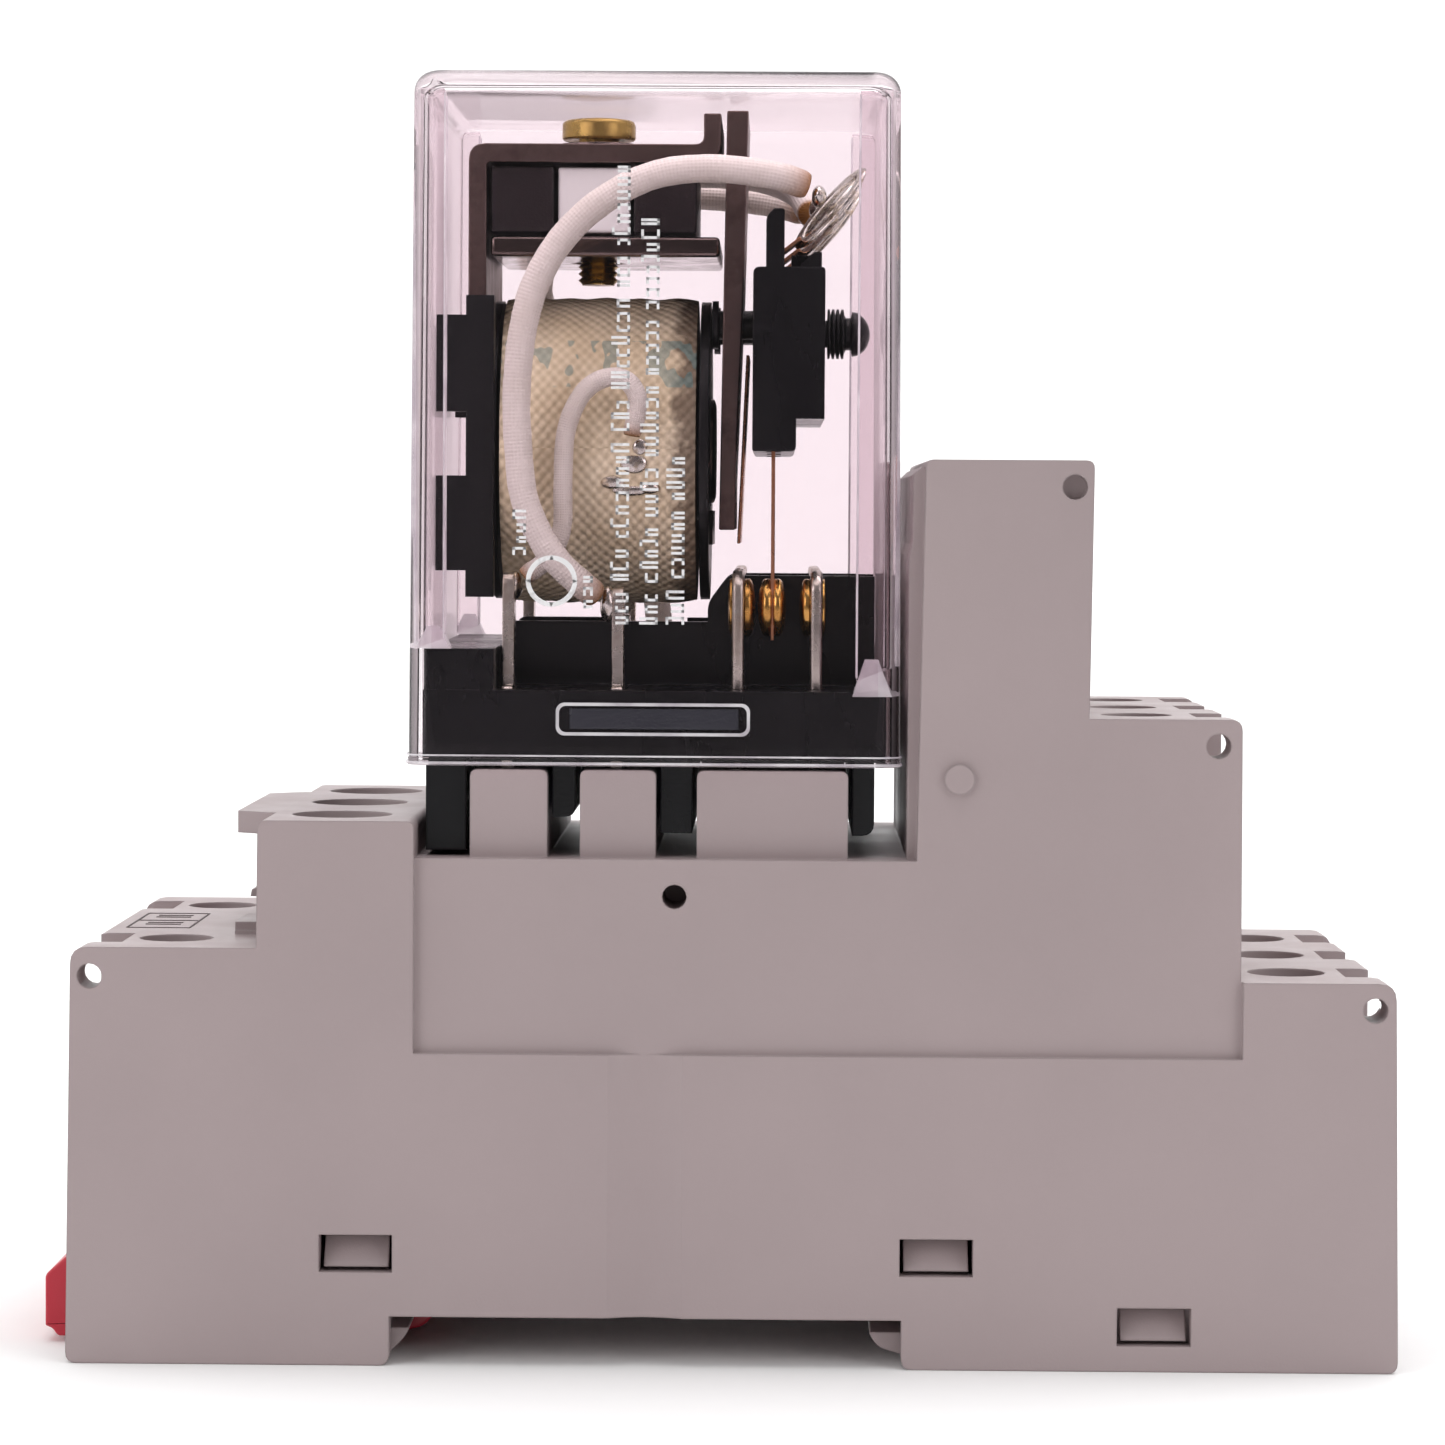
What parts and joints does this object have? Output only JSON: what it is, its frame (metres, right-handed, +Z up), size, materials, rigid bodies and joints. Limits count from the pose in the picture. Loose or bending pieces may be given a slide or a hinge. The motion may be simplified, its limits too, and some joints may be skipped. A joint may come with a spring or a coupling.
{
  "type": "control relay",
  "caption": "Plug-in changeover relay with a clear cover on blade pins, seated in a stepped grey screw-terminal socket with a rail latch and a side tower.",
  "frame": {"origin": "middle of the footprint, on the plane that the socket's feet stand on", "axes": "+X along the socket towards the tower side, +Y across it, +Z up through the relay"},
  "size_m": [0.0965, 0.0396, 0.091],
  "materials": {
    "grey_plastic": "satin warm grey moulding",
    "red_plastic": "red moulding",
    "black_plastic": "black moulding with a soft shine",
    "clear_plastic": "clear moulding",
    "white_plastic": "off-white moulding",
    "ferrite": "dull black",
    "frame_steel": "dark brown coated steel",
    "plated_steel": "bright plated metal",
    "brass": "bright brass",
    "spring_copper": "copper alloy spring strip",
    "winding_tape": "woven insulating tape",
    "lead_sleeve": "braided white sleeve"
  },
  "bodies": {
    "socket": {"socket_housing": "grey_plastic", "base_plate": "grey_plastic"},
    "latch": {"din_latch": "red_plastic"},
    "screw_body_coil_1": {"screw_coil_1": "plated_steel"},
    "clamp_body_coil_1": {"clamp_coil_1": "plated_steel"},
    "screw_body_coil_2": {"screw_coil_2": "plated_steel"},
    "clamp_body_coil_2": {"clamp_coil_2": "plated_steel"},
    "screw_body_common_1": {"screw_common_1": "plated_steel"},
    "clamp_body_common_1": {"clamp_common_1": "plated_steel"},
    "screw_body_common_2": {"screw_common_2": "plated_steel"},
    "clamp_body_common_2": {"clamp_common_2": "plated_steel"},
    "screw_body_common_3": {"screw_common_3": "plated_steel"},
    "clamp_body_common_3": {"clamp_common_3": "plated_steel"},
    "screw_body_open_1": {"screw_open_1": "plated_steel"},
    "clamp_body_open_1": {"clamp_open_1": "plated_steel"},
    "screw_body_open_2": {"screw_open_2": "plated_steel"},
    "clamp_body_open_2": {"clamp_open_2": "plated_steel"},
    "screw_body_open_3": {"screw_open_3": "plated_steel"},
    "clamp_body_open_3": {"clamp_open_3": "plated_steel"},
    "screw_body_closed_1": {"screw_closed_1": "plated_steel"},
    "clamp_body_closed_1": {"clamp_closed_1": "plated_steel"},
    "screw_body_closed_2": {"screw_closed_2": "plated_steel"},
    "clamp_body_closed_2": {"clamp_closed_2": "plated_steel"},
    "screw_body_closed_3": {"screw_closed_3": "plated_steel"},
    "clamp_body_closed_3": {"clamp_closed_3": "plated_steel"},
    "relay": {"cover": "clear_plastic", "relay_base": "black_plastic", "bobbin": "black_plastic", "winding": "winding_tape", "core": "frame_steel", "yoke": "frame_steel", "lower_plate": "ferrite", "magnet_left": "ferrite", "magnet_right": "ferrite", "spacer_block": "white_plastic", "frame_washer": "plated_steel", "frame_screw": "brass", "coil_post_1": "plated_steel", "coil_lead_1": "lead_sleeve", "coil_post_2": "plated_steel", "coil_lead_2": "lead_sleeve", "common_post_1": "plated_steel", "closed_contact_1": "plated_steel", "open_contact_1": "plated_steel", "common_lead_1": "lead_sleeve", "common_post_2": "plated_steel", "closed_contact_2": "plated_steel", "open_contact_2": "plated_steel", "common_lead_2": "lead_sleeve", "common_post_3": "plated_steel", "closed_contact_3": "plated_steel", "open_contact_3": "plated_steel", "common_lead_3": "lead_sleeve"},
    "rocker": {"armature": "frame_steel", "armature_shim": "spring_copper", "contact_carrier": "black_plastic", "carrier_stud": "black_plastic", "moving_contact_1": "spring_copper", "moving_contact_2": "spring_copper", "moving_contact_3": "spring_copper"}
  },
  "joints": [
    {"name": "latch_slide", "type": "slide", "parent": "socket", "child": "latch", "axis": [-1, 0, 0], "range_m": [0, 0.003], "stiffness_N_per_m": 800, "springref_m": -0.001},
    {"name": "turn_coil_1", "type": "hinge", "parent": "socket", "child": "screw_body_coil_1", "pos_m": [-0.03859, -0.0129, 0.02], "axis": [0, 0, -1], "range_deg": [0, 1020]},
    {"name": "rise_coil_1", "type": "slide", "parent": "socket", "child": "clamp_body_coil_1", "axis": [0, 0, 1], "range_m": [0, 0.0016]},
    {"name": "turn_coil_2", "type": "hinge", "parent": "socket", "child": "screw_body_coil_2", "pos_m": [-0.03859, 0.0129, 0.02], "axis": [0, 0, -1], "range_deg": [0, 1020]},
    {"name": "rise_coil_2", "type": "slide", "parent": "socket", "child": "clamp_body_coil_2", "axis": [0, 0, 1], "range_m": [0, 0.0016]},
    {"name": "turn_common_1", "type": "hinge", "parent": "socket", "child": "screw_body_common_1", "pos_m": [-0.02669, -0.013, 0.02], "axis": [0, 0, -1], "range_deg": [0, 1020]},
    {"name": "rise_common_1", "type": "slide", "parent": "socket", "child": "clamp_body_common_1", "axis": [0, 0, 1], "range_m": [0, 0.0016]},
    {"name": "turn_common_2", "type": "hinge", "parent": "socket", "child": "screw_body_common_2", "pos_m": [-0.02669, 0, 0.02], "axis": [0, 0, -1], "range_deg": [0, 1020]},
    {"name": "rise_common_2", "type": "slide", "parent": "socket", "child": "clamp_body_common_2", "axis": [0, 0, 1], "range_m": [0, 0.0016]},
    {"name": "turn_common_3", "type": "hinge", "parent": "socket", "child": "screw_body_common_3", "pos_m": [-0.02669, 0.013, 0.02], "axis": [0, 0, -1], "range_deg": [0, 1020]},
    {"name": "rise_common_3", "type": "slide", "parent": "socket", "child": "clamp_body_common_3", "axis": [0, 0, 1], "range_m": [0, 0.0016]},
    {"name": "turn_open_1", "type": "hinge", "parent": "socket", "child": "screw_body_open_1", "pos_m": [0.04091, -0.0124, 0.02], "axis": [0, 0, -1], "range_deg": [0, 1020]},
    {"name": "rise_open_1", "type": "slide", "parent": "socket", "child": "clamp_body_open_1", "axis": [0, 0, 1], "range_m": [0, 0.0016]},
    {"name": "turn_open_2", "type": "hinge", "parent": "socket", "child": "screw_body_open_2", "pos_m": [0.04091, 0, 0.02], "axis": [0, 0, -1], "range_deg": [0, 1020]},
    {"name": "rise_open_2", "type": "slide", "parent": "socket", "child": "clamp_body_open_2", "axis": [0, 0, 1], "range_m": [0, 0.0016]},
    {"name": "turn_open_3", "type": "hinge", "parent": "socket", "child": "screw_body_open_3", "pos_m": [0.04091, 0.0124, 0.02], "axis": [0, 0, -1], "range_deg": [0, 1020]},
    {"name": "rise_open_3", "type": "slide", "parent": "socket", "child": "clamp_body_open_3", "axis": [0, 0, 1], "range_m": [0, 0.0016]},
    {"name": "turn_closed_1", "type": "hinge", "parent": "socket", "child": "screw_body_closed_1", "pos_m": [0.03001, -0.0124, 0.02], "axis": [0, 0, -1], "range_deg": [0, 1020]},
    {"name": "rise_closed_1", "type": "slide", "parent": "socket", "child": "clamp_body_closed_1", "axis": [0, 0, 1], "range_m": [0, 0.0016]},
    {"name": "turn_closed_2", "type": "hinge", "parent": "socket", "child": "screw_body_closed_2", "pos_m": [0.03001, 0, 0.02], "axis": [0, 0, -1], "range_deg": [0, 1020]},
    {"name": "rise_closed_2", "type": "slide", "parent": "socket", "child": "clamp_body_closed_2", "axis": [0, 0, 1], "range_m": [0, 0.0016]},
    {"name": "turn_closed_3", "type": "hinge", "parent": "socket", "child": "screw_body_closed_3", "pos_m": [0.03001, 0.0124, 0.02], "axis": [0, 0, -1], "range_deg": [0, 1020]},
    {"name": "rise_closed_3", "type": "slide", "parent": "socket", "child": "clamp_body_closed_3", "axis": [0, 0, 1], "range_m": [0, 0.0016]},
    {"name": "relay_lift", "type": "slide", "parent": "socket", "child": "relay", "axis": [0, 0, 1], "range_m": [0, 0.03]},
    {"name": "armature_rock", "type": "hinge", "parent": "relay", "child": "rocker", "pos_m": [0.00015, 0, 0.0794], "axis": [0, -1, 0], "range_deg": [0, 1.8], "stiffness_Nm_per_rad": 0.05, "springref_deg": -5.73}
  ],
  "couplings": [
    {"joint": "turn_coil_1", "follows": "rise_coil_1", "rad_per_m": 10472},
    {"joint": "turn_coil_2", "follows": "rise_coil_2", "rad_per_m": 10472},
    {"joint": "turn_common_1", "follows": "rise_common_1", "rad_per_m": 10472},
    {"joint": "turn_common_2", "follows": "rise_common_2", "rad_per_m": 10472},
    {"joint": "turn_common_3", "follows": "rise_common_3", "rad_per_m": 10472},
    {"joint": "turn_open_1", "follows": "rise_open_1", "rad_per_m": 10472},
    {"joint": "turn_open_2", "follows": "rise_open_2", "rad_per_m": 10472},
    {"joint": "turn_open_3", "follows": "rise_open_3", "rad_per_m": 10472},
    {"joint": "turn_closed_1", "follows": "rise_closed_1", "rad_per_m": 10472},
    {"joint": "turn_closed_2", "follows": "rise_closed_2", "rad_per_m": 10472},
    {"joint": "turn_closed_3", "follows": "rise_closed_3", "rad_per_m": 10472}
  ]
}
